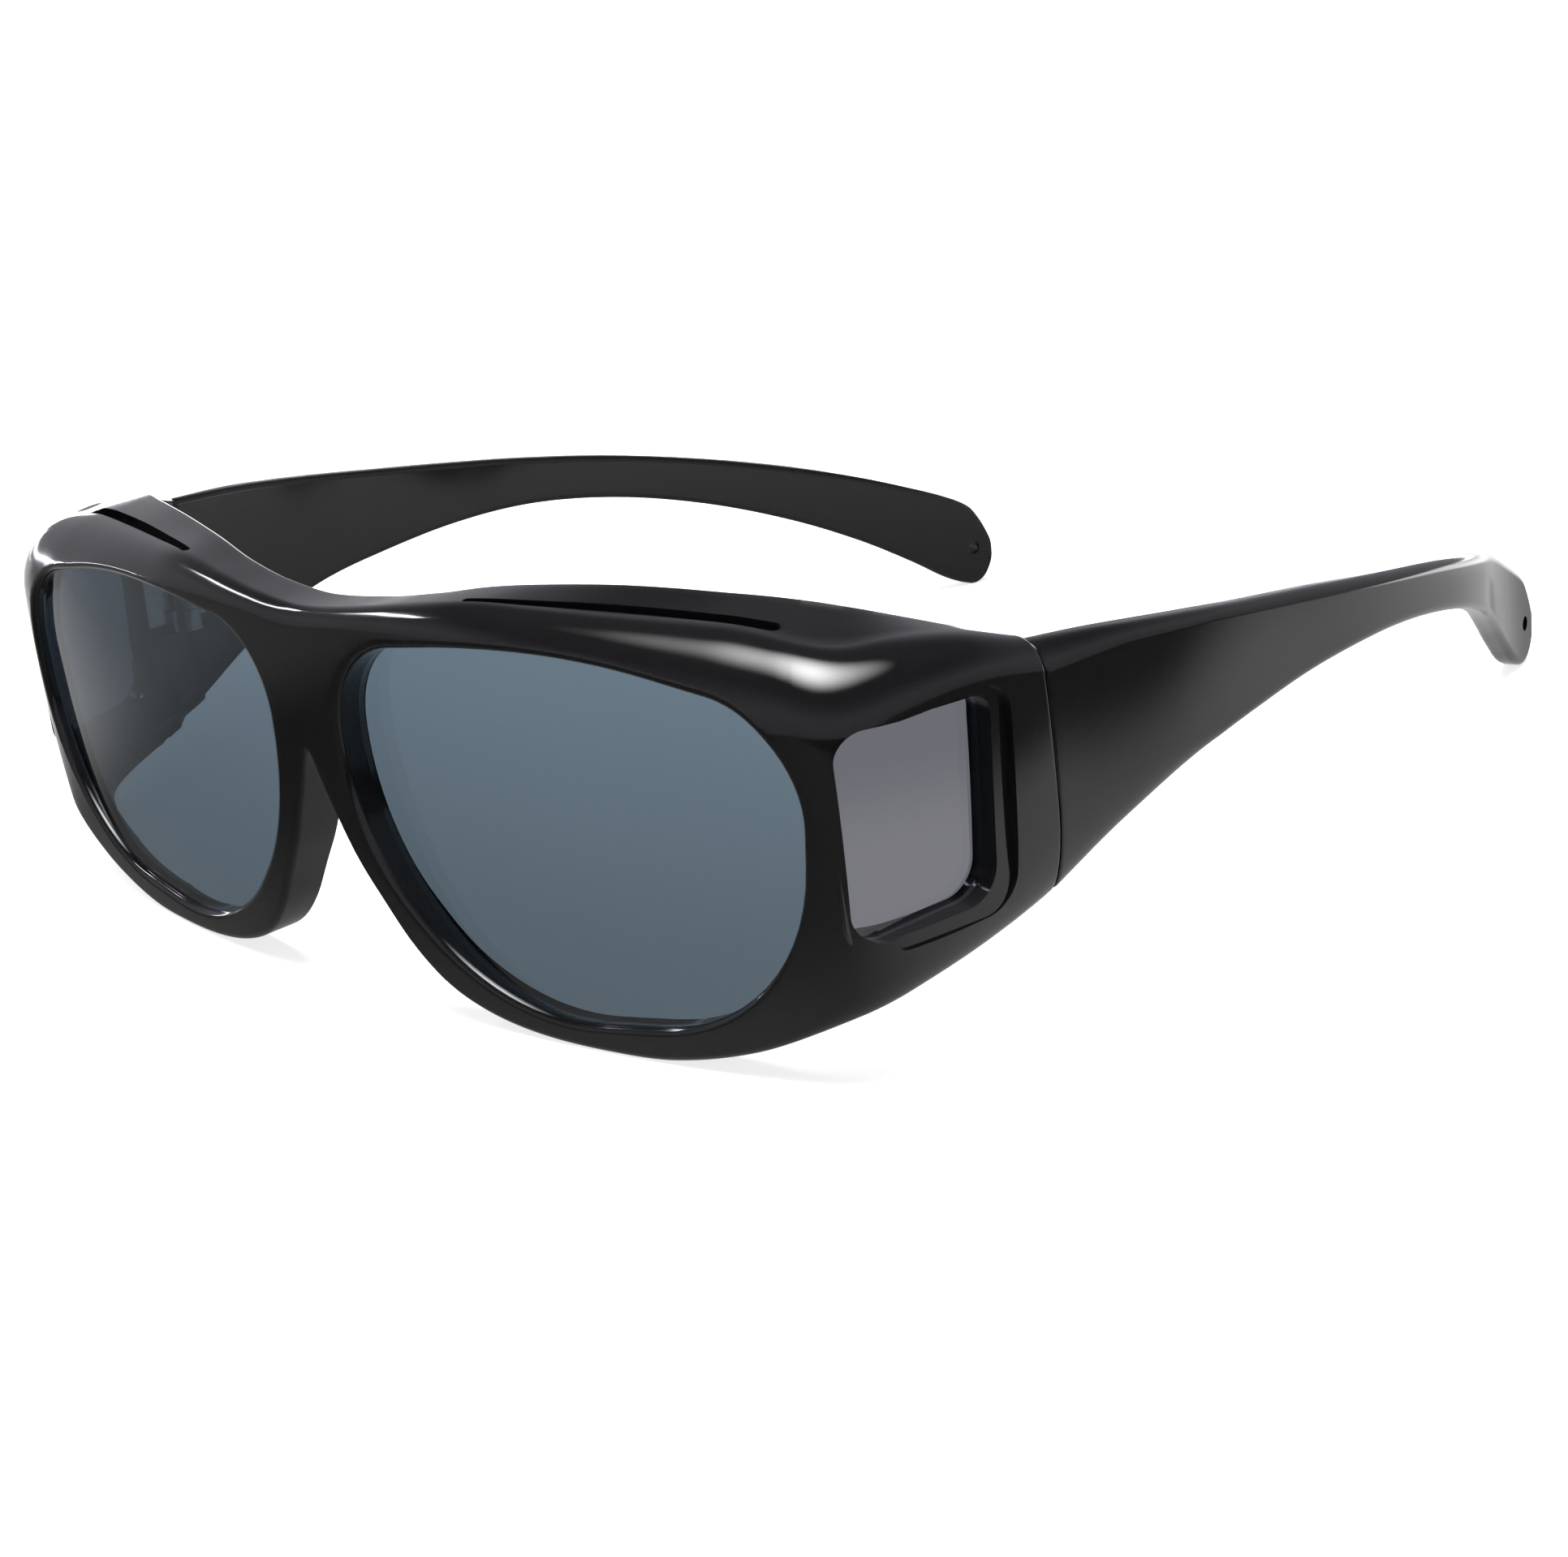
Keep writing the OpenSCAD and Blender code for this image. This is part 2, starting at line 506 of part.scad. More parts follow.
// A section of a temple: depth from its outside, and height.
function temple_section(u, low, high) =
    let (t = ramp(temple_depth, u), h = (high - low) * 0.4, a = ramp(top_round_in, u),
         b = min(ramp(top_round_down, u), h), c = ramp(foot_out_in, u),
         d = min(ramp(foot_out_up, u), h), e = min(edge, h))
    concat(quarter(t - e, low + e, e, e, -90), quarter(t - e, high - e, e, e, 0),
        quarter(a, high - b, a, b, 90), quarter(c, low + d, c, d, 180));
function temple_turn(u) =
    u == 0 ? 0 : atan(curve(temple_out, min(u + 0.5, temple_run)) - curve(temple_out, u - 0.5));
function temple_ring(u) =
    let (high = u > shoulder_run ? ramp(end_top, u) : curve(temple_top, u),
         low = u > sole_run ? curve(end_bottom, u) : curve(temple_bottom, u),
         turn = temple_turn(u), out = half_width + curve(temple_out, u), fade = max(1 - u / 40, 0))
    [for (p = temple_section(u, low, high)) let (w = p[0] + fade * bulge(p[1]))
        [out - w * cos(turn), seam_y + seam_gap + u + w * sin(turn) - fade * lean * (p[1] - mid_z),
         p[1]]];
temple_steps = 34;
tip_steps = 8;
temple_rings = concat([for (i = [0:temple_steps]) temple_ring(sole_run * i / temple_steps)],
    [for (i = [1:tip_steps]) temple_ring(sole_run + (temple_run - sole_run) * i / tip_steps)]);

hole_run = temple_run - lanyard_end;
module temple_shape() {
    difference() {
        skin(temple_rings, true);
        hinge_pocket(1);
        lugs(1, fit_gap);
        translate([half_width + curve(temple_out, hole_run), seam_y + seam_gap + hole_run, lanyard_z])
            rotate([0, 0, -temple_turn(hole_run)]) rotate([0, 90, 0])
                cylinder(r = lanyard_r, h = 20, center = true);
    }
}

// One half of a hinge: a leaf against its pad, its anchor posts and its knuckles.
module knuckle(z, high) {
    translate([axis_x, seam_y, z]) cylinder(r = knuckle_r, h = high);
}
module leaf(towards, levels) {
    difference() {
        union() {
            translate([pad_x - leaf_thick, towards > 0 ? seam_y + leaf_gap : seam_y - leaf_len,
                       hinge_z - leaf_high / 2])
                cube([leaf_thick, leaf_len - leaf_gap, leaf_high]);
            lugs(towards, 0);
            for (l = levels) {
                knuckle(l[0], l[1]);
                translate([axis_x, towards > 0 ? seam_y : seam_y - leaf_gap - 0.5, l[0]])
                    cube([pad_x - axis_x, leaf_gap + 0.5, l[1]]);
            }
        }
        translate([axis_x, seam_y, hinge_z]) cylinder(r = screw_r + screw_gap, h = 20, center = true);
    }
}
module frame_leaf() {
    leaf(-1, [[hinge_z - hinge_half, knuckle_end], [hinge_z + hinge_half - knuckle_end, knuckle_end]]);
}
module temple_leaf() {
    leaf(1, [[hinge_z - knuckle_mid / 2, knuckle_mid]]);
}
module screw() {
    translate([axis_x, seam_y, hinge_z - hinge_half]) cylinder(r = screw_r, h = 2 * hinge_half);
    difference() {
        translate([axis_x, seam_y, hinge_z + hinge_half]) cylinder(r = screw_head_r, h = screw_head);
        translate([axis_x - 0.15, seam_y - 2, hinge_z + hinge_half + screw_head * 0.45])
            cube([0.3, 4, 1]);
    }
}
module other_side() {
    mirror([1, 0, 0]) children();
}

module lens_left() { color(smoke) lens_body(0); }
module lens_right() { color(smoke) other_side() lens_body(0); }
module side_lens_left() { color(smoke) pane_plate(0); }
module side_lens_right() { color(smoke) other_side() pane_plate(0); }
module temple_left() { color(gloss_black) temple_shape(); }
module temple_right() { color(gloss_black) other_side() temple_shape(); }
module frame_hinge_leaf_left() { color(steel) frame_leaf(); }
module frame_hinge_leaf_right() { color(steel) other_side() frame_leaf(); }
module temple_hinge_leaf_left() { color(steel) temple_leaf(); }
module temple_hinge_leaf_right() { color(steel) other_side() temple_leaf(); }
module hinge_screw_left() { color(steel) screw(); }
module hinge_screw_right() { color(steel) other_side() screw(); }

front_frame();
lens_left();
lens_right();
side_lens_left();
side_lens_right();
temple_left();
temple_right();
frame_hinge_leaf_left();
frame_hinge_leaf_right();
temple_hinge_leaf_left();
temple_hinge_leaf_right();
hinge_screw_left();
hinge_screw_right();
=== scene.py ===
# Looks for the fit-over wrap glasses. Lengths in the shape formulas are in mm, objects are in metres.
import math
import bmesh
import bpy
import numpy as np
from mathutils import Matrix, Vector


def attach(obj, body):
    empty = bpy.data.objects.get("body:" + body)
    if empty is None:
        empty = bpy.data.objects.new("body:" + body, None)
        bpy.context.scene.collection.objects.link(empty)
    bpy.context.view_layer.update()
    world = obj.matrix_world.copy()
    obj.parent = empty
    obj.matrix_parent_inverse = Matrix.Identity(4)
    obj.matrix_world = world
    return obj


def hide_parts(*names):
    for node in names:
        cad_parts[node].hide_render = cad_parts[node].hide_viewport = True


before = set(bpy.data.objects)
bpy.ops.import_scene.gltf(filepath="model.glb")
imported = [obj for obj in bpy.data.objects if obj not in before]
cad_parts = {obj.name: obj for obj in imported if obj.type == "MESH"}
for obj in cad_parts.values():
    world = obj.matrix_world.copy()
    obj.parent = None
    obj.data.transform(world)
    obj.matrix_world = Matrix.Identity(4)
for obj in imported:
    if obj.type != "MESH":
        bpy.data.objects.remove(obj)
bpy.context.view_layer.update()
MM = 0.001
scene = bpy.context.scene
scene.view_settings.view_transform = "Standard"

# ---- sizes, as in the part's source ----
half_width, wrap_depth, front_radius, front_run = 74.8, 36.5, 230.0, 66.0
corner_heading, seam_heading, lean, face_radius, mid_z = 70.0, 88.0, 0.041, 210.0, 28.0
bridge_height, crown_height, crown_run, seam_top, seam_bottom = 45.5, 48.9, 40.0, 42.2, 14.9
arch_height, nose_depth, rim_depth, side_wall, band_rib = 29.2, 6.2, 4.3, 5.4, 0.5
end_wall, brow_wall, band, edge = 4.0, 2.0, 1.8, 0.8
vent_in, vent_out, vent_start, vent_end = 1.0, 1.7, 24.0, 56.8
lens_thick, lens_radius, lens_lap, nose_recess, outer_recess = 1.8, 210.0, 0.8, 3.6, 2.0
pane_thick, pane_lap, pane_front, pane_rear, step_depth, draft = 1.2, 0.7, 0.9, 3.2, 1.05, 0.3
temple_run, seam_gap, temple_root, temple_thick = 133.9, 0.15, 4.0, 3.0
ear_height, tip_inset, lanyard_r, lanyard_end, lanyard_z = 12.4, 25.8, 1.0, 3.6, 5.8
axis_inset, hinge_z, knuckle_r, leaf_len, screw_head = 4.6, 29.0, 1.75, 6.6, 0.7
hinge_half = 3.0 / 2 + 0.1 + 2.8
face_lead = lean * lean * face_radius / 2
front_y = face_lead - (face_lead + wrap_depth + seam_gap + temple_run) / 2
seam_y = front_y + wrap_depth


def curve(stations, x, flat_start=False):
    """Smooth interpolation between listed stations."""
    p = np.asarray(stations, float)
    x = np.asarray(x, float)
    n = len(p)
    a = np.maximum(np.arange(n) - 1, 0)
    b = np.minimum(np.arange(n) + 1, n - 1)
    m = (p[b, 1] - p[a, 1]) / (p[b, 0] - p[a, 0])
    if flat_start:
        m[0] = 0
    i = np.clip(np.searchsorted(p[:, 0], x, side="right") - 1, 0, n - 2)
    h = p[i + 1, 0] - p[i, 0]
    t = (x - p[i, 0]) / h
    return ((1 + 2 * t) * (1 - t) ** 2 * p[i, 1] + t * (1 - t) ** 2 * h * m[i]
            + t * t * (3 - 2 * t) * p[i + 1, 1] + t * t * (t - 1) * h * m[i + 1])


def ramp(stations, x):
    p = np.asarray(stations, float)
    return np.interp(x, p[:, 0], p[:, 1])


# ---- the wall in plan ----
rad = math.radians
ft, ch, sh = front_run / front_radius, rad(corner_heading), rad(seam_heading)
arc_end = np.array([front_radius * math.sin(ft), front_y + front_radius * (1 - math.cos(ft))])
corner_radius, side_radius = np.linalg.solve(
    [[math.sin(ch) - math.sin(ft), math.sin(sh) - math.sin(ch)],
     [math.cos(ft) - math.cos(ch), math.cos(ch) - math.cos(sh)]],
    [half_width - arc_end[0], seam_y - arc_end[1]])
corner_end = arc_end + corner_radius * np.array([math.sin(ch) - math.sin(ft), math.cos(ft) - math.cos(ch)])
corner_stop = front_run + corner_radius * (ch - ft)
seam_run = corner_stop + side_radius * (sh - ch)


def heading(s):
    return np.where(s <= front_run, s / front_radius,
                    np.where(s <= corner_stop, ft + (s - front_run) / corner_radius,
                             ch + (s - corner_stop) / side_radius))


def wrap_point(s):
    s = np.asarray(s, float)
    h = heading(s)
    x = np.where(s <= front_run, front_radius * np.sin(h),
                 np.where(s <= corner_stop, arc_end[0] + corner_radius * (np.sin(h) - math.sin(ft)),
                          corner_end[0] + side_radius * (np.sin(h) - math.sin(ch))))
    y = np.where(s <= front_run, front_y + front_radius * (1 - np.cos(h)),
                 np.where(s <= corner_stop, arc_end[1] + corner_radius * (math.cos(ft) - np.cos(h)),
                          corner_end[1] + side_radius * (math.cos(ch) - np.cos(h))))
    return np.stack([x, y], -1)


brow_back_x = [[0, 0], [8, 8], [16, 16], [24, 24], [32, 31.8], [40, 39.4], [48, 45.5], [56, 50],
               [64, 53.8], [70, 57], [76, 60], [82, 63], [88, 66], [92, 68],
               [seam_run, half_width - end_wall - 0.6]]
brow_back_y = [[0, nose_depth + 0.9], [8, nose_depth + 1.1], [16, 8.4], [24, 10.4], [32, 12.8],
               [40, 15.4], [48, 18], [56, 20.2], [64, 22.2], [70, 24], [76, 26.1], [82, 28.7],
               [88, 31.8], [92, 34], [seam_run, wrap_depth]]
bottom_line = [[0, arch_height], [2.6, arch_height - 5.6], [5.2, arch_height - 11.4], [8, 13.3],
               [11.4, 8.3], [15.6, 4.3], [21, 1.8], [28, 0.4], [37, 0], [46, 0.4], [56.5, 2.9],
               [68, 7.6], [76, 9.8], [84, 11.7], [90, 13.2], [seam_run, seam_bottom]]
crown_line = [[0, bridge_height], [8, bridge_height + 0.6], [16, bridge_height + 1.65],
              [24, crown_height - 0.6], [32, crown_height - 0.1], [crown_run, crown_height],
              [52, crown_height - 0.6], [64, crown_height - 1.3], [76, crown_height - 2.5],
              [88, seam_top + 1.9], [seam_run, seam_top]]
brow_fall = [[0, 0], [16, 0], [24, 0.3], [32, 1], [40, 1.4], [56, 1.2], [64, 1.5], [72, 1.8],
             [80, 0.8], [88, 0], [seam_run, 0]]
round_in = [[0, 1.8], [10, 2.2], [24, 3.7], [40, 5.9], [52, 7.2], [62, 7.9], [70, 7.8], [78, 7.2],
            [86, 5.6], [seam_run, 3]]
round_down = [[0, 2.4], [10, 2.4], [24, 4.2], [40, 7.1], [52, 8.9], [62, 9.3], [70, 8.5],
              [78, 6.2], [86, 4.4], [seam_run, 3.5]]
foot_round_in = [[0, edge], [60, edge], [70, 1.2], [80, 1.8], [88, 2.1], [seam_run, 2]]
foot_round_up = [[0, edge], [60, edge], [70, 2.5], [80, 6], [88, 9], [seam_run, 9]]
wall_in = [[0, nose_depth], [3, nose_depth - 0.4], [10, nose_depth - 1.2], [18, rim_depth + 0.2],
           [28, rim_depth], [60, rim_depth], [66, side_wall], [88, side_wall], [91, end_wall],
           [seam_run, end_wall]]


def bulge(z):
    return (z - mid_z) ** 2 / (2 * face_radius)


def brow_back(s):
    return np.stack([curve(brow_back_x, s), front_y + curve(brow_back_y, s)], -1)


def shell_point(s, w, z):
    """A point of the shell at depth w behind the face, at height z."""
    face = wrap_point(s)
    d = brow_back(s) - face
    inwards = d / np.linalg.norm(d, axis=-1, keepdims=True)
    h = heading(np.asarray(s, float))
    out = np.stack([np.sin(h), -np.cos(h)], -1)
    q = face - np.asarray(bulge(z))[..., None] * out + np.asarray(w)[..., None] * inwards
    return np.stack([q[..., 0], q[..., 1] - lean * (z - mid_z), np.broadcast_to(z, q.shape[:-1])], -1)


def bottom(s):
    return curve(bottom_line, s, True)


def shell_ring(s):
    """One closed section: outer skin from the foot to the brow's back edge, then the inner one back."""
    zb, zc = float(bottom(s)), float(curve(crown_line, s, True))
    zt = zc - float(curve(brow_fall, s))
    a, b = float(curve(round_in, s)), float(curve(round_down, s))
    rise = float(bottom(min(s + 0.5, seam_run)) - bottom(max(s - 0.5, 0)))
    stretch = min(math.sqrt(1 + rise * rise), 2.4)
    fa, fb = float(curve(foot_round_in, s)), max(float(curve(foot_round_up, s)), edge * stretch)
    t = float(ramp(wall_in, s))
    reach = float(np.linalg.norm(brow_back(s) - wrap_point(s)))
    lip = min(edge, (reach - t) * 0.3)
    quarter = lambda n: [math.pi / 2 * k / n for k in range(n + 1)]
    z0, z1 = zb + fb, zt - b
    outer = [(t + band_rib, zb)]
    outer += [(fa * (1 - math.sin(g)), zb + fb * (1 - math.cos(g))) for g in quarter(7)]
    outer += [(0, z0 + (z1 - z0) * k / 12) for k in range(1, 13)]
    outer += [(a * (1 - math.cos(g)), z1 + b * math.sin(g)) for g in quarter(14)[1:]]
    roof_end = reach - edge
    outer += [(a + (roof_end - a) * k / 6, zt + (zc - zt) * k / 6) for k in range(1, 6)]
    outer += [(roof_end + edge * math.sin(g), zc - edge + edge * math.cos(g)) for g in quarter(5)]
    zi = zc - brow_wall
    zbi, zti = zb + band * stretch, zt - brow_wall
    ai, bi, e = min(max(a - 2, 0.5), (reach - t) * 0.4), max(b - 2, 0.6), band_rib * 0.8
    z0, z1 = zbi + e, zti - bi
    inner = [(t + band_rib, zbi)]
    inner += [(t + e * (1 - math.sin(g)), zbi + e * (1 - math.cos(g))) for g in quarter(7)]
    inner += [(t, z0 + (z1 - z0) * k / 12) for k in range(1, 13)]
    inner += [(t + ai * (1 - math.cos(g)), z1 + bi * math.sin(g)) for g in quarter(14)[1:]]
    roof_end = reach - lip
    start = t + ai
    inner += [(start + (roof_end - start) * k / 6, zti + (zi - zti) * k / 6) for k in range(1, 6)]
    inner += [(roof_end + lip * math.sin(g), zi + lip - lip * math.cos(g)) for g in quarter(5)]
    wz = np.array(outer + inner[::-1])
    return shell_point(np.full(len(wz), s), wz[:, 0], wz[:, 1])


def pinched(ring, inset):
    """A closed section drawn in a little, for the soft edge at a seam."""
    middle = (ring + ring[::-1]) / 2
    d = ring - middle
    length = np.maximum(np.linalg.norm(d, axis=1, keepdims=True), 1e-9)
    return middle + d * np.maximum(1 - inset / length, 0.25)


seam_soft = 0.35


def soft_end(ring_at, end, inwards):
    """The last few sections before an end, drawn in along a quarter circle."""
    rings = []
    for k in range(5):
        g = math.pi / 2 * k / 4
        ring = ring_at(end + inwards * seam_soft * (1 - math.sin(g)))
        rings.append(pinched(ring, seam_soft * (1 - math.cos(g))))
    return rings


def add_mesh(name, points, faces, smooth=True):
    """A new object from points in mm."""
    me = bpy.data.meshes.new(name)
    me.from_pydata((np.asarray(points, float) * MM).tolist(), [], faces)
    me.validate()
    ob = bpy.data.objects.new(name, me)
    scene.collection.objects.link(ob)
    if smooth:
        me.shade_smooth()
    return ob


def ring_faces(count, size):
    """Quads between each closed ring of points and the next one."""
    return [(i * size + j, i * size + (j + 1) % size, (i + 1) * size + (j + 1) % size, (i + 1) * size + j)
            for i in range(count - 1) for j in range(size)]


def fan_faces(count, size):
    """Closes the first and last ring towards the two points that follow the rings."""
    first, last, end = count * size, count * size + 1, (count - 1) * size
    return ([(first, (j + 1) % size, j) for j in range(size)]
            + [(last, end + j, end + (j + 1) % size) for j in range(size)])


def skin(name, rings):
    """Joins closed sections into a solid, with strips across its two ends."""
    rings = np.asarray(rings)
    n, m = rings.shape[:2]
    faces = ring_faces(n, m)
    last = (n - 1) * m
    faces += [(j + 1, j, m - 1 - j, m - 2 - j) for j in range(m // 2 - 1)]
    faces += [(last + j, last + j + 1, last + m - 2 - j, last + m - 1 - j) for j in range(m // 2 - 1)]
    ob = add_mesh(name, rings.reshape(-1, 3), faces)
    bm_fix(ob)
    return ob


def bm_fix(ob):
    """Joins doubled points and turns every face outwards."""
    bm = bmesh.new()
    bm.from_mesh(ob.data)
    bmesh.ops.remove_doubles(bm, verts=bm.verts, dist=1e-7)
    bmesh.ops.recalc_face_normals(bm, faces=bm.faces)
    bm.to_mesh(ob.data)
    bm.free()


def prism(name, low, high):
    """A solid between two outlines with the same number of points."""
    n = len(low)
    faces = [(j, (j + 1) % n, n + (j + 1) % n, n + j) for j in range(n)]
    faces += [tuple(range(n))[::-1], tuple(range(n, 2 * n))]
    ob = add_mesh(name, np.vstack([low, high]), faces, smooth=False)
    bm_fix(ob)
    return ob


def box(name, low, high):
    (a, b, c), (d, e, f) = low, high
    plan = [(a, b), (d, b), (d, e), (a, e)]
    return prism(name, [(x, y, c) for x, y in plan], [(x, y, f) for x, y in plan])


def bake(ob):
    """Applies an object's modifiers."""
    bpy.context.view_layer.update()
    deps = bpy.context.evaluated_depsgraph_get()
    me = bpy.data.meshes.new_from_object(ob.evaluated_get(deps))
    old = ob.data
    ob.modifiers.clear()
    ob.data = me
    bpy.data.meshes.remove(old)


def combine(ob, other, operation):
    mod = ob.modifiers.new("cut", "BOOLEAN")
    mod.operation, mod.object, mod.solver = operation, other, "EXACT"
    bake(ob)
    bpy.data.objects.remove(other)


def skin_depth(s, z):
    """How far the rounded brow or foot lies behind the face."""
    zb, zt = bottom(s), curve(crown_line, s, True) - curve(brow_fall, s)
    a, b, fa = curve(round_in, s), curve(round_down, s), curve(foot_round_in, s)
    fb = np.maximum(curve(foot_round_up, s), edge)
    top = a * (1 - np.sqrt(1 - np.clip((z - zt + b) / b, 0, 1) ** 2))
    low = fa * (1 - np.sqrt(1 - np.clip((zb + fb - z) / fb, 0, 1) ** 2))
    return top + low


def face_y(x, z):
    """The outer skin's y at a place seen from the front."""
    table = np.linspace(0, 90, 901)
    s = np.interp(x, wrap_point(table)[:, 0], table)
    for _ in range(6):
        q = shell_point(s, skin_depth(s, z), z)
        s = np.clip(s + (x - q[:, 0]), 0, 90)
    return q[:, 1]


def opening_cutter(corners, radius):
    """Cuts a lens opening and rounds its rim on the outside."""
    base = outline(corners)
    grown = outline(corners, 1.0)
    spacing = 0.9
    counts = [max(int(np.linalg.norm(q - p) / spacing), 1) for p, q in zip(base, np.roll(base, -1, 0))]

    def ring(margin):
        pts = base + (grown - base) * margin
        out = []
        for p, q, k in zip(pts, np.roll(pts, -1, 0), counts):
            out += [p + (q - p) * i / k for i in range(k)]
        return np.array(out)

    layers = [(radius, -4.0)]
    for i in range(9):
        g = rad(6 + 84 * i / 8)
        layers.append((radius * (1 - math.sin(g)), radius * (1 - math.cos(g)) - 0.01))
    rings = []
    for margin, depth in layers:
        r = ring(margin)
        rings.append(on_front(r, face_y(r[:, 0], r[:, 1]) + depth))
    rings.append(on_front(ring(0.0), front_y + 18))
    count, size = len(rings), len(rings[0])
    points = np.vstack(rings + [rings[0].mean(0)[None], rings[-1].mean(0)[None]])
    ob = add_mesh("opening", points, ring_faces(count, size) + fan_faces(count, size))
    bm_fix(ob)
    return ob


def outline(corners, margin=0.0, steps=14):
    """A convex outline with an arc at each corner (x, height, radius), listed clockwise."""
    points = []
    n = len(corners)
    for i, (x, y, r) in enumerate(corners):
        p = np.array([x, y])
        u = np.array(corners[i - 1][:2]) - p
        v = np.array(corners[(i + 1) % n][:2]) - p
        u, v = u / np.linalg.norm(u), v / np.linalg.norm(v)
        half = math.acos(float(u @ v)) / 2
        inwards = (u + v) / np.linalg.norm(u + v)
        middle = p + inwards * r / math.sin(half)
        facing = math.atan2(-inwards[1], -inwards[0])
        for k in range(steps + 1):
            g = facing + (math.pi / 2 - half) * (1 - 2 * k / steps)
            points.append(middle + (r + margin) * np.array([math.cos(g), math.sin(g)]))
    return np.array(points)


lens_corners = [(5.9, 41.6, 10.4), (34.8, 45, 92), (65.7, 39.2, 11.2), (62.5, 6.3, 15.6),
                (23.2, 1.6, 25.8), (5.8, 20.8, 27.4)]
window_corners = [(70.1, 38.3, 3), (88.3, 38.5, 2), (87.6, 17.4, 5), (70.9, 16, 2)]
seen_window = [(70.1, 38.3, 3), (88.3, 38.5, 2), (87.6, 17.4, 4), (71.0, 16.2, 3.2)]
step_corners = [(75.2, 38.3, 0.4), (90.4, 39.7, 3), (89.9, 15.8, 4), (75.2, 14.9, 1)]

# the opening as it shows from outside, inside the lens's own outline
seen_corners = [(5.9, 41.6, 10.4), (34.8, 45, 92), (65.7, 39.2, 12), (62.5, 6.3, 23),
                (23.2, 1.6, 25.8), (5.8, 20.8, 27.4)]
rim_radius = 1.1

lens_a, lens_b = shell_point(9, nose_recess, mid_z), shell_point(64, outer_recess, mid_z)
lens_mid = (lens_a + lens_b)[:2] / 2
lens_chord = (lens_b - lens_a)[:2]
lens_half = np.linalg.norm(lens_chord) / 2
lens_back = np.array([-lens_chord[1], lens_chord[0]]) / (2 * lens_half)
lens_centre = lens_mid + lens_back * math.sqrt(lens_radius ** 2 - lens_half ** 2)

pane_s = 78
pane_a, pane_b = shell_point(70, pane_front, mid_z), shell_point(88, pane_rear, mid_z)
pane_heading = math.atan2(pane_b[1] - pane_a[1], pane_b[0] - pane_a[0])
pane_u = np.array([math.cos(pane_heading), math.sin(pane_heading)])
pane_out = np.array([math.sin(pane_heading), -math.cos(pane_heading)])
pane_foot = pane_a[:2] + pane_u * ((wrap_point(pane_s) - pane_a[:2]) @ pane_u)

# From here on the three arcs of the wall blend into one another, so that reflections run on smoothly.
blend, grid_step = 5.0, 0.02
grid = np.arange(-20, seam_run + 20, grid_step)
turn_at = np.where(grid < 0, -heading(-grid), heading(np.maximum(grid, 0)))
box_filter = np.ones(int(blend / grid_step)) / int(blend / grid_step)
for _ in range(2):
    turn_at = np.convolve(turn_at, box_filter, "same")
grid_start = int(np.searchsorted(grid, 0))
walk = np.stack([np.cos(turn_at), np.sin(turn_at)], -1) * grid_step
path = np.cumsum((walk + np.roll(walk, 1, 0)) / 2, 0)
path = path - path[grid_start] + [0, front_y]
miss = np.array([half_width, seam_y]) - [np.interp(seam_run, grid, path[:, i]) for i in (0, 1)]
share = np.clip((grid - 55) / 30, 0, 1)
path = path + (share * share * (3 - 2 * share))[:, None] * miss


def heading(s):
    return np.interp(s, grid, turn_at)


def wrap_point(s):
    s = np.asarray(s, float)
    return np.stack([np.interp(s, grid, path[:, 0]), np.interp(s, grid, path[:, 1])], -1)


def on_front(points, y):
    return np.stack([points[:, 0], np.broadcast_to(y, len(points)), points[:, 1]], -1)


def on_pane(points, outwards):
    q = pane_foot + (points[:, :1] - pane_s) * pane_u + np.reshape(outwards, (-1, 1)) * pane_out
    return np.column_stack([q, points[:, 1]])


def lens_y(x, z, radius):
    """Depth of the leaning cylinder that a lens is part of."""
    a = math.atan(lean)
    dx = x - lens_centre[0]
    return lens_centre[1] + (-np.sqrt(radius ** 2 - dx ** 2) - (z - mid_z) * math.sin(a)) / math.cos(a)


def plate(name, points, place, rows=26, soft=0.25):
    """A thin plate: rings that shrink towards the middle on both faces, with a soft edge."""
    middle = points.mean(0)
    layers = []
    arc = [math.pi / 2 * k / 4 for k in range(5)]
    reach = np.linalg.norm(points - middle, axis=1, keepdims=True)
    shrink = lambda d: middle + (points - middle) * (1 - d / reach)
    for k in range(1, rows):
        layers.append((middle + (points - middle) * (k / rows) * 0.985, 0.0))
    for g in arc:
        layers.append((shrink(soft * (1 - math.sin(g))), soft * (1 - math.cos(g))))
    front = [place(p, d, 0) for p, d in layers]
    back = [place(p, d, 1) for p, d in layers]
    rings = front + back[::-1]
    count, size = len(rings), len(points)
    pts = np.vstack(rings + [place(middle[None], 0.0, 0), place(middle[None], 0.0, 1)])
    ob = add_mesh(name, pts, ring_faces(count, size) + fan_faces(count, size))
    bm_fix(ob)
    ob.data.shade_smooth()
    return ob


def lens_place(p, depth, side):
    x, z = p[:, 0], p[:, 1]
    if side == 0:
        return on_front(p, lens_y(x, z, lens_radius) + depth)
    return on_front(p, lens_y(x, z, lens_radius - lens_thick) - depth)


def pane_place(p, depth, side):
    return on_pane(p, -depth if side == 0 else -pane_thick + depth)


def flip_side(ob):
    ob.data.transform(Matrix.Diagonal((-1, 1, 1, 1)))
    ob.data.flip_normals()
    return ob


def finish_piece(ob, body, nodes, material, sharp=None):
    if sharp is not None:
        ob.data.shade_smooth()
        ob.data.set_sharp_from_angle(angle=rad(sharp))
        mod = ob.modifiers.new("shade", "WEIGHTED_NORMAL")
        mod.keep_sharp, mod.weight = True, 100
        bake(ob)
    ob.data.materials.clear()
    ob.data.materials.append(material)
    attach(ob, body)
    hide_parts(*nodes)


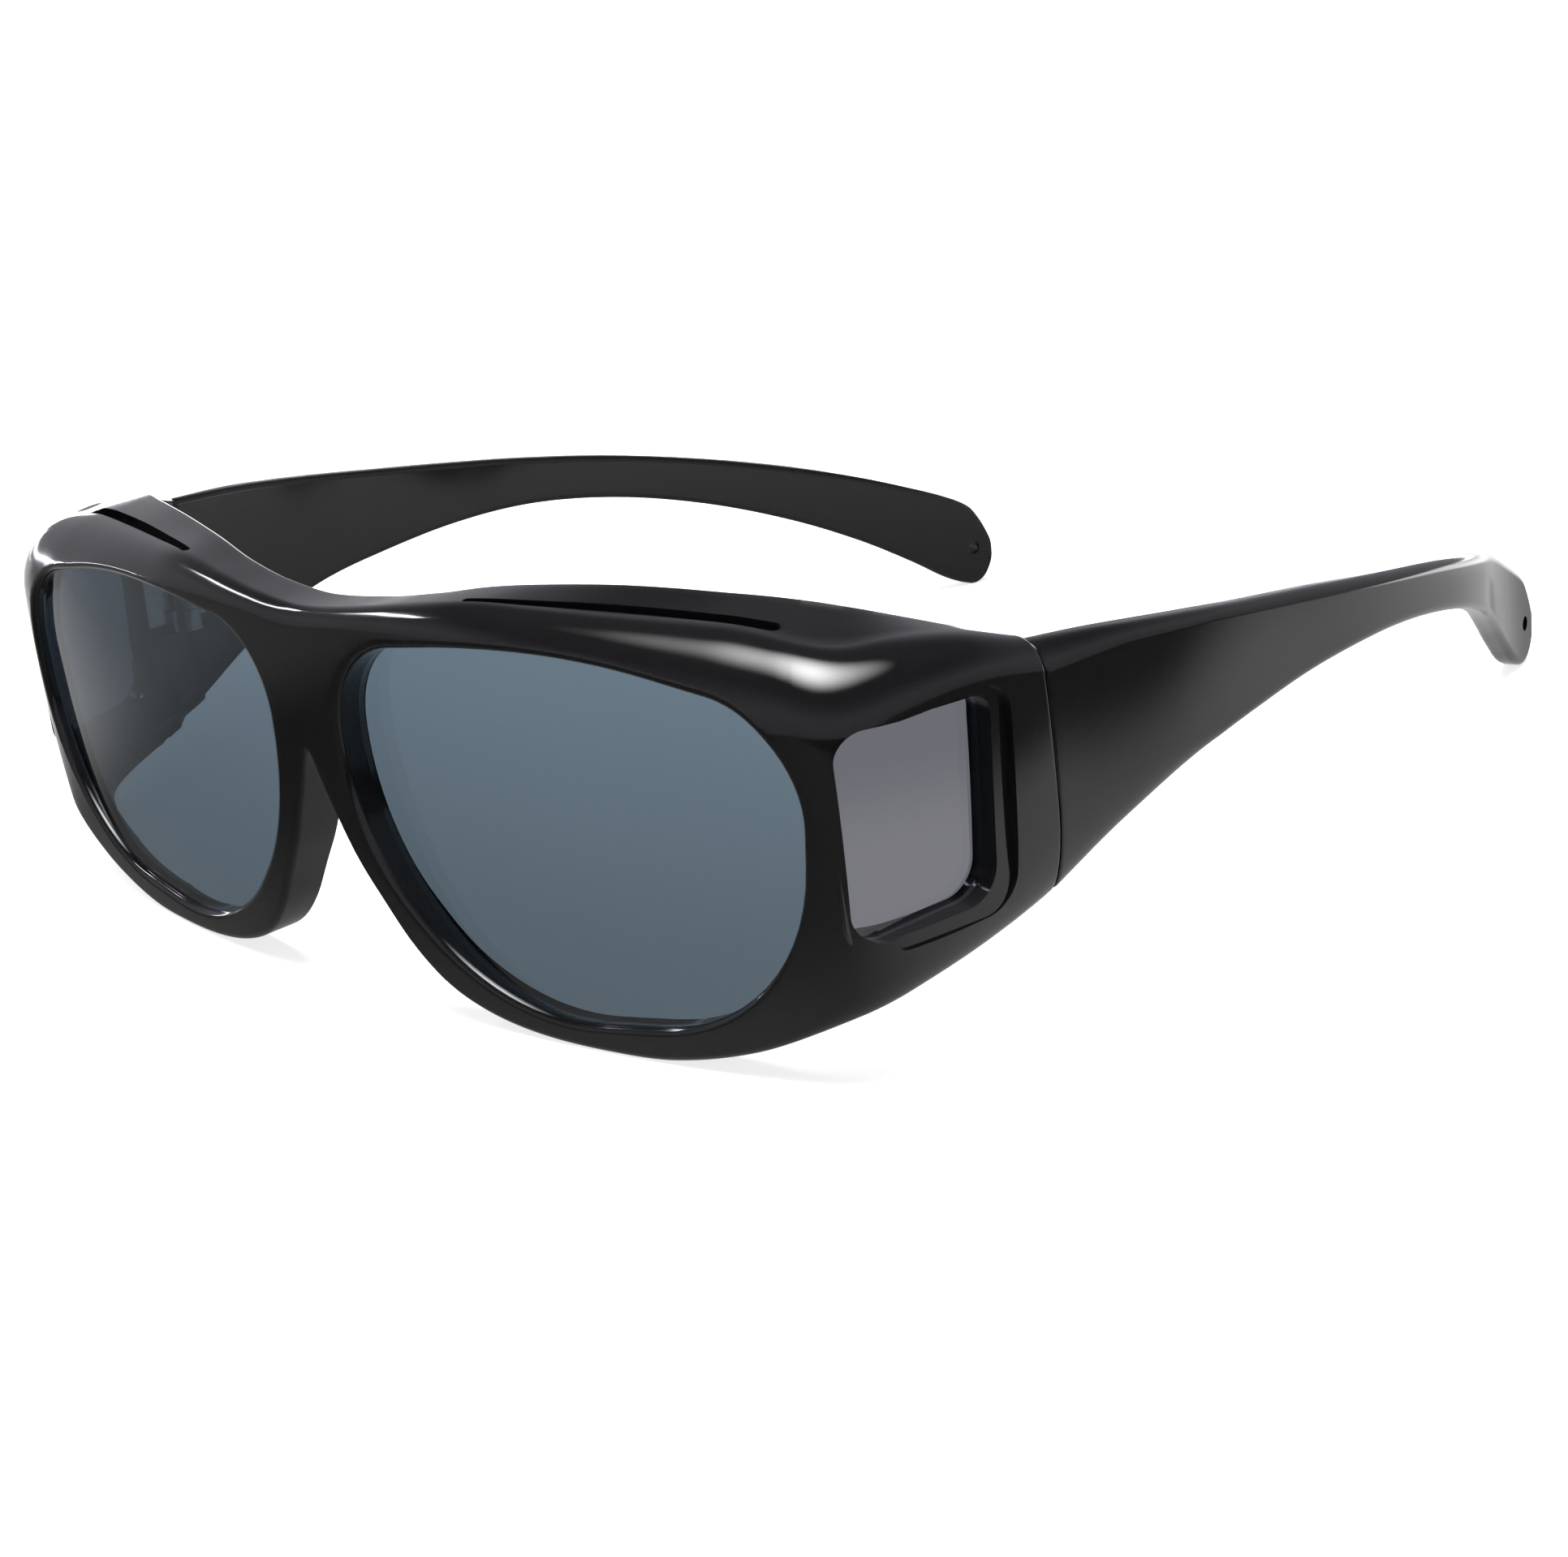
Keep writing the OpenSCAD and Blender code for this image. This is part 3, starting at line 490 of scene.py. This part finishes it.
# ---- materials ----
def empty_material(name):
    mat = bpy.data.materials.new(name)
    mat.use_nodes = True
    tree = mat.node_tree
    tree.nodes.clear()
    return mat, tree, tree.nodes.new("ShaderNodeOutputMaterial")


def new_material(name):
    mat, tree, out = empty_material(name)
    shader = tree.nodes.new("ShaderNodeBsdfPrincipled")
    tree.links.new(shader.outputs[0], out.inputs[0])
    return mat, tree, shader


def noise(tree, scale, detail, coords):
    n = tree.nodes.new("ShaderNodeTexNoise")
    n.inputs["Scale"].default_value = scale
    n.inputs["Detail"].default_value = detail
    tree.links.new(coords, n.inputs["Vector"])
    return n.outputs["Fac"]


def map_range(tree, socket, span, result, kind="LINEAR"):
    n = tree.nodes.new("ShaderNodeMapRange")
    n.interpolation_type = kind
    for key, value in zip(("From Min", "From Max", "To Min", "To Max"), (*span, *result)):
        n.inputs[key].default_value = value
    tree.links.new(socket, n.inputs["Value"])
    return n.outputs["Result"]


def spread(tree, socket, low, high):
    """Maps the middle of a noise to a narrow range."""
    return map_range(tree, socket, (0.3, 0.7), (low, high))


def mixed(tree, factor, low, high):
    """A colour between low and high."""
    n = tree.nodes.new("ShaderNodeMix")
    n.data_type = "RGBA"
    n.inputs["A"].default_value = (*low, 1)
    n.inputs["B"].default_value = (*high, 1)
    tree.links.new(factor, n.inputs["Factor"])
    return n.outputs["Result"]


def plastic():
    mat, tree, s = new_material("gloss_black_plastic")
    coords = tree.nodes.new("ShaderNodeTexCoord").outputs["Object"]
    shade = mixed(tree, noise(tree, 60, 3, coords), (0.0035, 0.0035, 0.0038), (0.0055, 0.0055, 0.006))
    tree.links.new(shade, s.inputs["Base Color"])
    tree.links.new(spread(tree, noise(tree, 140, 4, coords), 0.08, 0.13), s.inputs["Roughness"])
    s.inputs["IOR"].default_value = 1.5
    # the slight ripple of a moulded surface
    bump = tree.nodes.new("ShaderNodeBump")
    bump.inputs["Strength"].default_value = 0.05
    bump.inputs["Distance"].default_value = 0.0002
    tree.links.new(noise(tree, 45, 2, coords), bump.inputs["Height"])
    tree.links.new(bump.outputs["Normal"], s.inputs["Normal"])
    return mat


def tinted(name, colour, low, high):
    """A clear tint, graded from low times the colour at the bottom to high times it at the top: painted
    light, which makes the glass lighter towards the top and darker towards the bottom.
    """
    mat, tree, s = new_material(name)
    coords = tree.nodes.new("ShaderNodeTexCoord").outputs["Object"]
    split = tree.nodes.new("ShaderNodeSeparateXYZ")
    tree.links.new(coords, split.inputs[0])
    height = map_range(tree, split.outputs["Z"], (0.002, 0.044), (0, 1))
    # painted light: the height share grades the tint lighter towards the top and darker towards the bottom;
    # the noise adds random tone
    cloud_and_painted_grade = tree.nodes.new("ShaderNodeMath")
    cloud_and_painted_grade.operation, cloud_and_painted_grade.use_clamp = "MULTIPLY_ADD", True
    cloud_and_painted_grade.inputs[1].default_value = 0.06
    tree.links.new(noise(tree, 25, 2, coords), cloud_and_painted_grade.inputs[0])
    tree.links.new(height, cloud_and_painted_grade.inputs[2])
    shade = mixed(tree, cloud_and_painted_grade.outputs[0], [c * low for c in colour], [c * high for c in colour])
    tree.links.new(shade, s.inputs["Base Color"])
    s.inputs["Transmission Weight"].default_value = 1.0
    s.inputs["IOR"].default_value = 1.58
    tree.links.new(spread(tree, noise(tree, 90, 3, coords), 0.0, 0.02), s.inputs["Roughness"])
    return mat


def steel():
    mat, tree, s = new_material("hinge_steel")
    coords = tree.nodes.new("ShaderNodeTexCoord").outputs["Object"]
    stretch = tree.nodes.new("ShaderNodeMapping")
    stretch.inputs["Scale"].default_value = (1, 1, 14)
    tree.links.new(coords, stretch.inputs["Vector"])
    grain = noise(tree, 500, 4, stretch.outputs["Vector"])
    tree.links.new(mixed(tree, grain, (0.42, 0.42, 0.43), (0.54, 0.54, 0.55)), s.inputs["Base Color"])
    s.inputs["Metallic"].default_value = 1.0
    tree.links.new(spread(tree, grain, 0.25, 0.4), s.inputs["Roughness"])
    return mat


black = plastic()
# both tints are graded by height, painted light that lightens the top of the glass and darkens its bottom
lens_mat = tinted("lens_grey", (0.118, 0.163, 0.202), 0.64, 1.2)
pane_mat = tinted("side_grey", (0.15, 0.152, 0.174), 0.97, 1.04)
steel_mat = steel()

# ---- front ----
stations = np.concatenate([np.linspace(0, 20, 31)[1:], np.linspace(20, front_run, 47)[1:],
                           np.linspace(front_run, corner_stop, 25)[1:],
                           np.linspace(corner_stop, seam_run, 37)[1:]])
half = [shell_ring(s) for s in stations if s < seam_run - 0.5] + soft_end(shell_ring, seam_run, -1)
mirror = np.array([-1, 1, 1])
front = skin("frame", [r * mirror for r in half[::-1]] + [shell_ring(0.0)] + half)

knuckle_room, leaf_room = 0.25, 0.3
pad_x = half_width - axis_inset + knuckle_r + knuckle_room


def pocket(towards):
    """Room for a hinge leaf, in the front (-1) or in a temple (1)."""
    reach = leaf_len + leaf_room
    y = seam_y + (-1 if towards > 0 else -reach)
    return box("pocket", (pad_x - 8 - knuckle_r - knuckle_room, y, hinge_z - hinge_half - leaf_room),
               (pad_x, y + reach + 1, hinge_z + hinge_half + screw_head + leaf_room))


def cutters():
    """What the left half of the front has cut from it."""
    cut = [opening_cutter(seen_corners, rim_radius),
           prism("window", on_pane(outline(seen_window), -6), on_pane(outline(seen_window, draft), 10))]
    step = prism("step", on_pane(outline(step_corners), 0), on_pane(outline(step_corners, draft), 10))
    line = shell_point(np.linspace(70, 92, 25), step_depth, mid_z)[:, :2]
    zone = np.vstack([line, [[half_width + 6, front_y + 34], [half_width + 6, front_y + 8]]])
    combine(step, prism("zone", np.column_stack([zone, np.full(len(zone), mid_z - 20)]),
                        np.column_stack([zone, np.full(len(zone), mid_z + 20)])), "INTERSECT")
    a, b = np.array([vent_start, front_y + 5.2]), np.array([vent_end, front_y + 16.2])
    along = math.atan2(b[1] - a[1], b[0] - a[0])
    ring = [a + vent_in / 2 * np.array([math.cos(g), math.sin(g)])
            for g in along + math.pi / 2 + np.linspace(0, math.pi, 13)]
    ring += [b + vent_out / 2 * np.array([math.cos(g), math.sin(g)])
             for g in along - math.pi / 2 + np.linspace(0, math.pi, 13)]
    ring = np.array(ring)
    vent = prism("vent", np.column_stack([ring, np.full(len(ring), crown_height - 9)]),
                 np.column_stack([ring, np.full(len(ring), crown_height + 5)]))
    return cut + [step, vent, pocket(-1)]


for side in (1, -1):
    for cutter in cutters():
        if side < 0:
            flip_side(cutter)
        combine(front, cutter, "DIFFERENCE")
finish_piece(front, "front", ["front_frame"], black, sharp=38)

sides = ((1, "left"), (-1, "right"))
for side, word in sides:
    lens = plate("lens_" + word + "_pane", outline(lens_corners, lens_lap), lens_place)
    pane = plate("side_lens_" + word + "_pane", outline(window_corners, pane_lap), pane_place, rows=8)
    for ob, node, slot, mat in ((lens, "lens_", "lens_tint", lens_mat),
                                (pane, "side_lens_", "side_tint", pane_mat)):
        if side < 0:
            flip_side(ob)
        finish_piece(ob, "front", [node + word], mat)

# ---- temples ----
k = temple_run / 132.9
scaled = lambda p: [[a * k, b] for a, b in p]
temple_top = scaled([[0, seam_top - 0.5], [10, 40.8], [22, 39.25], [35, 37.3], [48, 35.35], [62, 33.1],
                     [76, 30.5], [90, 27.25], [102, 23.9], [112, 20.5], [120, 17.2], [126, ear_height + 2],
                     [129.2, ear_height], [130.6, 10.6], [131.7, 8.6], [132.5, 6.8], [132.9, 5.4]])
temple_bottom = scaled([[0, seam_bottom], [10, 19.5], [22, 23.6], [35, 25.6], [48, 26.65], [62, 26.35],
                        [76, 24.2], [90, 20.4], [102, 15.7], [112, 10.4], [120, 5.2], [125.2, 1.6],
                        [129, 0], [130.3, 0.2], [131.4, 1], [132.3, 2.5], [132.9, 4]])
temple_out = scaled([[0, 0], [20, 1.5], [40, 0.8], [60, -0.6], [80, -4.5], [95, -9.8],
                     [108, 9.4 - tip_inset], [118, 4.7 - tip_inset], [126, 1.7 - tip_inset],
                     [132.9, -tip_inset]])
# the same line with its bends evened out, so that reflections run on smoothly
even_step, even_reach = 0.05, 60
even_u = np.arange(-10, temple_run + 10, even_step)
even_out = curve(temple_out, even_u)
past = even_u > temple_run
slope = (even_out[~past][-1] - even_out[~past][-2]) / even_step
even_out[past] = even_out[~past][-1] + (even_u[past] - temple_run) * slope
even_filter = np.ones(2 * even_reach + 1) / (2 * even_reach + 1)
for _ in range(2):
    even_out = np.convolve(np.pad(even_out, even_reach, "edge"), even_filter, "same")[even_reach:-even_reach]
root_fade = np.clip((even_u - 4) / 14, 0, 1)
even_out = curve(temple_out, np.clip(even_u, 0, temple_run)) * (1 - root_fade) + even_out * root_fade
temple_depth = [[0, temple_root], [14, 3.4], [30, temple_thick], [temple_run, temple_thick]]
top_round_in = [[0, 3], [12, 1.6], [26, 1.2], [temple_run, 1.2]]
top_round_down = [[0, 3.5], [12, 2], [26, 1.4], [temple_run, 1.3]]
foot_out_in = [[0, 2], [12, 1.6], [26, 1], [temple_run, 1]]
foot_out_up = [[0, 9], [12, 4.5], [26, 1.2], [temple_run, 1.2]]
end_soft = 0.8


def temple_turn(u):
    """Direction of the temple's outer face in plan."""
    a, b = max(u - 1.5, 0), min(u + 1.5, temple_run)
    return math.atan(float(np.interp(b, even_u, even_out) - np.interp(a, even_u, even_out)) / (b - a))


def temple_ring(u):
    """One closed section of a temple, u mm behind the seam."""
    high, low = float(curve(temple_top, u)), max(float(curve(temple_bottom, u)), 0.0)
    t, h = float(ramp(temple_depth, u)), (high - low) * 0.45
    a, b = float(ramp(top_round_in, u)), min(float(ramp(top_round_down, u)), h)
    c, d, e = float(ramp(foot_out_in, u)), min(float(ramp(foot_out_up, u)), h), min(edge, h)
    pts = []
    for cx, cz, ra, rb, start in ((t - e, low + e, e, e, -90), (t - e, high - e, e, e, 0),
                                  (a, high - b, a, b, 90), (c, low + d, c, d, 180)):
        for n in range(9):
            g = rad(start + 90 * n / 8)
            pts.append((cx + ra * math.cos(g), cz + rb * math.sin(g)))
    pts = np.array(pts)
    into = max(u - (temple_run - end_soft), 0) / end_soft
    if into > 0:
        pinch = end_soft * (1 - math.sqrt(max(1 - into * into, 0)))
        pts[:, 0] = t / 2 + (pts[:, 0] - t / 2) * (1 - pinch / (t / 2))
    turn, out = temple_turn(u), half_width + float(np.interp(u, even_u, even_out))
    front_share = max(1 - u / 40, 0)
    w = pts[:, 0] + front_share * bulge(pts[:, 1])
    return np.stack([out - w * math.cos(turn),
                     seam_y + seam_gap + u + w * math.sin(turn) - front_share * lean * (pts[:, 1] - mid_z),
                     pts[:, 1]], -1)


runs = np.concatenate([np.linspace(0, 122, 110), np.linspace(122, temple_run - end_soft, 36)[1:],
                       temple_run - end_soft + end_soft * np.sin(np.linspace(0, math.pi / 2, 9))[1:]])
hole_run = temple_run - lanyard_end
hole_turn = temple_turn(hole_run)
hole_at = np.array([half_width + float(curve(temple_out, hole_run)),
                    seam_y + seam_gap + hole_run, lanyard_z])
hole_axis = np.array([math.cos(hole_turn), -math.sin(hole_turn), 0])
hole_across = np.array([math.sin(hole_turn), math.cos(hole_turn), 0])


def hole_ring(radius, depth):
    g = np.linspace(0, 2 * math.pi, 49)[:-1]
    return (hole_at - depth * hole_axis + radius * np.outer(np.cos(g), hole_across)
            + radius * np.outer(np.sin(g), [0, 0, 1]))


for side, word in sides:
    root = soft_end(lambda u: temple_ring(float(u)), 0.0, 1)[::-1]
    arm = skin("temple_" + word + "_arm", root + [temple_ring(float(u)) for u in runs if u > 0.6])
    combine(arm, pocket(1), "DIFFERENCE")
    combine(arm, prism("hole", hole_ring(lanyard_r, -4), hole_ring(lanyard_r, 8)), "DIFFERENCE")
    if side < 0:
        flip_side(arm)
    finish_piece(arm, word + "_temple", ["temple_" + word], black, sharp=38)

for name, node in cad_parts.items():
    if "hinge" in name:
        node.data.materials.clear()
        node.data.materials.append(steel_mat)

# ---- camera ----
az, el, roll = 0.7839607, 0.3215025, -0.0925424
back = np.array([math.sin(az) * math.cos(el), -math.cos(az) * math.cos(el), math.sin(el)])
right = np.array([math.cos(az), math.sin(az), 0])
up = np.cross(right, -back)
cam_x = math.cos(roll) * right + math.sin(roll) * up
cam_y = -math.sin(roll) * right + math.cos(roll) * up
cam = bpy.data.objects.new("camera", bpy.data.cameras.new("camera"))
image_width, focal_pixels = 1932, 3923.8
cam.data.sensor_width, cam.data.lens = 36, focal_pixels * 36 / image_width
cam.data.clip_start, cam.data.clip_end = 0.01, 50
stand = Matrix(np.column_stack([cam_x, cam_y, back]).tolist()).to_4x4()
stand.translation = Vector((269.151 * MM, (-212.180 + front_y + 15) * MM, 131.0 * MM))
cam.matrix_world = stand
scene.collection.objects.link(cam)
scene.camera = cam

# ---- floor and light ----
far = 6000
corners = [(-far, -far, 0), (far, -far, 0), (far, far, 0), (-far, far, 0)]
floor = add_mesh("floor", corners, [(0, 1, 2, 3)], False)
mat, tree, out = empty_material("floor_white")
seen = tree.nodes.new("ShaderNodeLightPath")
place = tree.nodes.new("ShaderNodeNewGeometry").outputs["Position"]
where = tree.nodes.new("ShaderNodeSeparateXYZ")
tree.links.new(place, where.inputs[0])

# the table itself takes the shadow, with a glow that the camera sees as white;
# the lamps don't reach the far table, so the glow grows there
white = tree.nodes.new("ShaderNodeBsdfDiffuse")
white.inputs["Color"].default_value = (0.6, 0.6, 0.6, 1)
distance = tree.nodes.new("ShaderNodeVectorMath")
distance.operation = "LENGTH"
tree.links.new(place, distance.inputs[0])
level = tree.nodes.new("ShaderNodeMapRange")
level.inputs["To Min"].default_value = 0.05
tree.links.new(map_range(tree, distance.outputs["Value"], (0.35, 1.5), (0.78, 1.0)), level.inputs["To Max"])
tree.links.new(seen.outputs["Is Camera Ray"], level.inputs["Value"])
glow = tree.nodes.new("ShaderNodeEmission")
tree.links.new(level.outputs["Result"], glow.inputs["Strength"])
table = tree.nodes.new("ShaderNodeAddShader")
tree.links.new(white.outputs[0], table.inputs[0])
tree.links.new(glow.outputs[0], table.inputs[1])


def fade(axis, start, end, low, high):
    return map_range(tree, where.outputs[axis], (start, end), (low, high), "SMOOTHSTEP")


# painted reflection: the table glows for reflections only, dark in front of the glasses and light beside and
# behind them
painted_reflection_level = fade("Y", -0.115, -0.045, 0.22, 1.0)
for part in (fade("X", -0.13, 0.16, 0.2, 0.95), fade("X", 0.128, 0.165, 1.0, 0.1),
             fade("X", -0.14, -0.08, 6.0, 1.0), fade("Y", 0.125, 0.19, 1.0, 3.9)):
    product = tree.nodes.new("ShaderNodeMath")
    product.operation = "MULTIPLY"
    tree.links.new(painted_reflection_level, product.inputs[0])
    tree.links.new(part, product.inputs[1])
    painted_reflection_level = product.outputs[0]
# painted reflection: the glow that glossy rays see on the table, set by place
painted_reflection_glow = tree.nodes.new("ShaderNodeEmission")
tree.links.new(painted_reflection_level, painted_reflection_glow.inputs["Strength"])

# through a lens the table is plain white
through = tree.nodes.new("ShaderNodeEmission")
look = table.outputs[0]
for ray, shader in (("Is Glossy Ray", painted_reflection_glow), ("Is Transmission Ray", through)):
    pick = tree.nodes.new("ShaderNodeMixShader")
    tree.links.new(seen.outputs[ray], pick.inputs[0])
    tree.links.new(look, pick.inputs[1])
    tree.links.new(shader.outputs[0], pick.inputs[2])
    look = pick.outputs[0]
tree.links.new(look, out.inputs[0])
floor.data.materials.append(mat)

world = bpy.data.worlds.new("studio")
scene.world = world
world.use_nodes = True
tree = world.node_tree
tree.nodes.clear()
out = tree.nodes.new("ShaderNodeOutputWorld")
coords = tree.nodes.new("ShaderNodeTexCoord")
split = tree.nodes.new("ShaderNodeSeparateXYZ")
tree.links.new(coords.outputs["Generated"], split.inputs[0])
sky = tree.nodes.new("ShaderNodeValToRGB")
horizon, low_sky = sky.color_ramp.elements
horizon.position, horizon.color = 0.0, (0.4, 0.4, 0.43, 1)
low_sky.position, low_sky.color = 0.34, (0.5, 0.5, 0.55, 1)
sky.color_ramp.elements.new(0.7).color = (0.1, 0.1, 0.11, 1)
tree.links.new(split.outputs["Z"], sky.inputs[0])
studio = tree.nodes.new("ShaderNodeBackground")
tree.links.new(sky.outputs[0], studio.inputs["Color"])
plain = tree.nodes.new("ShaderNodeBackground")
plain.inputs["Color"].default_value = (1, 1, 1, 1)
seen = tree.nodes.new("ShaderNodeLightPath")
mix = tree.nodes.new("ShaderNodeMixShader")
see_through = tree.nodes.new("ShaderNodeMath")
see_through.operation = "MAXIMUM"
tree.links.new(seen.outputs["Is Camera Ray"], see_through.inputs[0])
tree.links.new(seen.outputs["Is Transmission Ray"], see_through.inputs[1])
tree.links.new(see_through.outputs[0], mix.inputs[0])
tree.links.new(studio.outputs[0], mix.inputs[1])
tree.links.new(plain.outputs[0], mix.inputs[2])
tree.links.new(mix.outputs[0], out.inputs[0])


def softbox(name, at, aim, width, height, power, colour=(1, 1, 1)):
    light = bpy.data.lights.new(name, "AREA")
    light.shape, light.size, light.size_y = "RECTANGLE", width, height
    light.energy, light.color = power, colour
    ob = bpy.data.objects.new(name, light)
    ob.location = at
    ob.rotation_euler = (Vector(aim) - Vector(at)).to_track_quat("-Z", "Y").to_euler()
    scene.collection.objects.link(ob)
    return ob


softbox("overhead_wide", (0, -0.05, 1.25), (0, 0, 0), 1.0, 1.0, 5).visible_glossy = False
softbox("left_strip", (-0.84, -0.36, 0.74), (0, -0.05, 0.03), 0.4, 0.05, 1.8, (0.88, 0.88, 1.0))
softbox("left_low", (-1.2, 0.0, 0.12), (0, -0.05, 0.03), 0.7, 0.035, 1.1, (0.92, 0.92, 1.0))


def soft_lamp(name, at, radius, strength):
    """A round lamp that is brightest in its middle."""
    corners = 64
    turns = [2 * math.pi * n / corners for n in range(corners)]
    lamp = add_mesh(name, [(radius * math.cos(g) / MM, -radius * math.sin(g) / MM, 0) for g in turns],
                    [tuple(range(corners))], False)
    lamp.location = at
    lamp.rotation_euler = (Vector((0, -0.05, 0)) - lamp.location).to_track_quat("-Z", "Y").to_euler()
    mat, tree, out = empty_material(name)
    glow = tree.nodes.new("ShaderNodeEmission")
    reach = tree.nodes.new("ShaderNodeVectorMath")
    reach.operation = "LENGTH"
    tree.links.new(tree.nodes.new("ShaderNodeTexCoord").outputs["Object"], reach.inputs[0])
    level = map_range(tree, reach.outputs["Value"], (0.0, radius * 0.97), (strength, 0.0), "SMOOTHSTEP")
    tree.links.new(level, glow.inputs["Strength"])
    tree.links.new(glow.outputs[0], out.inputs[0])
    lamp.data.materials.append(mat)


soft_lamp("corner_lamp", (0.05, -0.15, 1.12), 0.66, 23.0)
